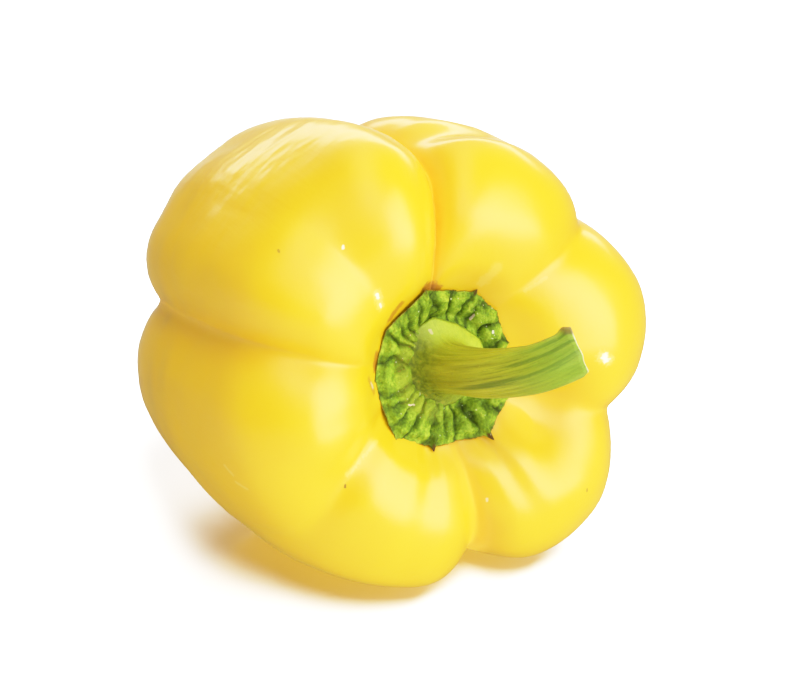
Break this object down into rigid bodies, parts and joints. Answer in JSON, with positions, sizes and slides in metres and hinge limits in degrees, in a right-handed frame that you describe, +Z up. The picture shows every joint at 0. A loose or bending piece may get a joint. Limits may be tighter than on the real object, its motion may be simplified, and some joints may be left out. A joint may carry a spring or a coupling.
{
  "type": "bell pepper",
  "caption": "Blocky sweet pepper lying on its side, with deep grooves between swollen lobes, a wrinkled green calyx in the stem hollow and a short ribbed, bent stem.",
  "frame": {"origin": "middle of the underside of the box round the whole part, on the surface that the pepper lies on", "axes": "+Z up; +X along the fruit's own axis seen from above, from the blossom end to the stem end; +Y to the right, seen from the stem end"},
  "size_m": [0.0936, 0.091, 0.0875],
  "materials": {
    "skin": "glossy waxy skin",
    "calyx": "dull wrinkled green tissue",
    "stem": "satin ribbed green tissue"
  },
  "bodies": {
    "root": {"fruit": "skin", "calyx": "calyx", "stem": "stem"}
  },
  "joints": []
}
